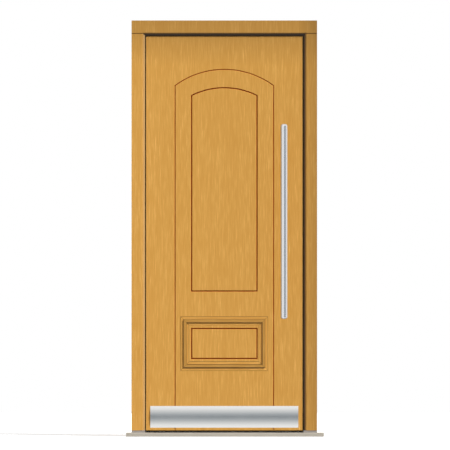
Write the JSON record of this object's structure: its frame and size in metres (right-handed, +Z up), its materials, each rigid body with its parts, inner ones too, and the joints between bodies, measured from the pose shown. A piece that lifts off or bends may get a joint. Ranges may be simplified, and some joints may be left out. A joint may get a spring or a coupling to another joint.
{
  "type": "panelled front door",
  "caption": "Timber front door in its frame, with arched and moulded routed panels, a long tubular pull bar, a metal kick plate and a mortise lock.",
  "frame": {"origin": "middle of the underside of the sill, at half the depth of the frame", "axes": "+X to the right seen from outside, +Y from outside to inside, +Z up"},
  "size_m": [1.024, 0.2095, 2.153],
  "materials": {
    "oiled_pine": "honey coloured softwood, satin oil",
    "shaded_pine": "honey coloured softwood, satin oil",
    "inner_pine": "planed softwood, bare",
    "brushed_stainless": "brushed stainless steel",
    "plated_steel": "zinc plated steel, satin",
    "screw_steel": "zinc plated steel",
    "seal_rubber": "black extruded rubber",
    "lock_brass": "satin brass",
    "sill_stone": "honed pale stone",
    "bronze_aluminium": "dark bronze anodised aluminium",
    "shoe_plastic": "grey moulded plastic",
    "core_foam": "rigid insulating foam"
  },
  "bodies": {
    "frame": {"frame_head": "shaded_pine", "hinge_jamb": "oiled_pine", "lock_jamb": "shaded_pine", "sill": "sill_stone", "threshold_rail": "bronze_aluminium", "hinge_jamb_shoe": "shoe_plastic", "lock_jamb_shoe": "shoe_plastic", "head_seal": "seal_rubber", "hinge_jamb_seal": "seal_rubber", "lock_jamb_seal": "seal_rubber", "keeper": "plated_steel", "keeper_screws": "screw_steel", "strike_case": "plated_steel", "upper_frame_hinge": "plated_steel", "middle_frame_hinge": "plated_steel", "lower_frame_hinge": "plated_steel", "hinge_pins": "plated_steel", "frame_hinge_screws": "screw_steel"},
    "leaf": {"outer_facing": "oiled_pine", "moulding_top": "oiled_pine", "moulding_bottom": "oiled_pine", "moulding_hinge_side": "oiled_pine", "moulding_lock_side": "oiled_pine", "inner_facing": "oiled_pine", "hinge_stile": "inner_pine", "lock_stile": "inner_pine", "top_rail": "inner_pine", "bottom_rail": "inner_pine", "kick_plate": "brushed_stainless", "pull_bar": "brushed_stainless", "pull_bar_top_cap": "brushed_stainless", "pull_bar_bottom_cap": "brushed_stainless", "pull_bar_upper_post": "brushed_stainless", "pull_bar_lower_post": "brushed_stainless", "lever_rose": "brushed_stainless", "cylinder_rose": "brushed_stainless", "lock_case": "plated_steel", "lock_faceplate": "plated_steel", "upper_leaf_hinge": "plated_steel", "middle_leaf_hinge": "plated_steel", "lower_leaf_hinge": "plated_steel", "leaf_hinge_screws": "screw_steel", "faceplate_screws": "screw_steel", "bottom_seal": "seal_rubber", "lock_cylinder": "lock_brass", "insulating_core": "core_foam"},
    "jaw": {"strike_jaw": "plated_steel"},
    "lever": {"lever_handle": "brushed_stainless", "lever_spindle": "plated_steel", "lock_follower": "plated_steel"},
    "latch": {"latch_bolt": "lock_brass"},
    "bolt": {"dead_bolt": "plated_steel"},
    "turn": {"thumb_turn": "brushed_stainless"}
  },
  "joints": [
    {"name": "door_swing", "type": "hinge", "parent": "frame", "child": "leaf", "pos_m": [-0.424, 0.052, 0], "axis": [0, 0, 1], "range_deg": [0, 110]},
    {"name": "jaw_swing", "type": "hinge", "parent": "frame", "child": "jaw", "pos_m": [0.44, 0.0295, 1.108], "axis": [0, 0, 1], "range_deg": [0, 90]},
    {"name": "lever_turn", "type": "hinge", "parent": "leaf", "child": "lever", "pos_m": [0.357, 0.02, 1.07], "axis": [0, -1, 0], "range_deg": [0, 40], "stiffness_Nm_per_rad": 1.5, "springref_deg": -28.65},
    {"name": "latch_slide", "type": "slide", "parent": "leaf", "child": "latch", "axis": [-1, 0, 0], "range_m": [0, 0.012]},
    {"name": "thumb_turn_spin", "type": "hinge", "parent": "leaf", "child": "turn", "pos_m": [0.357, 0.02, 0.978], "axis": [0, 1, 0], "range_deg": [0, 360]},
    {"name": "bolt_slide", "type": "slide", "parent": "leaf", "child": "bolt", "axis": [1, 0, 0], "range_m": [0, 0.02]}
  ],
  "couplings": [
    {"joint": "latch_slide", "follows": "lever_turn", "m_per_rad": 0.01718},
    {"joint": "thumb_turn_spin", "follows": "bolt_slide", "rad_per_m": 314.16}
  ]
}
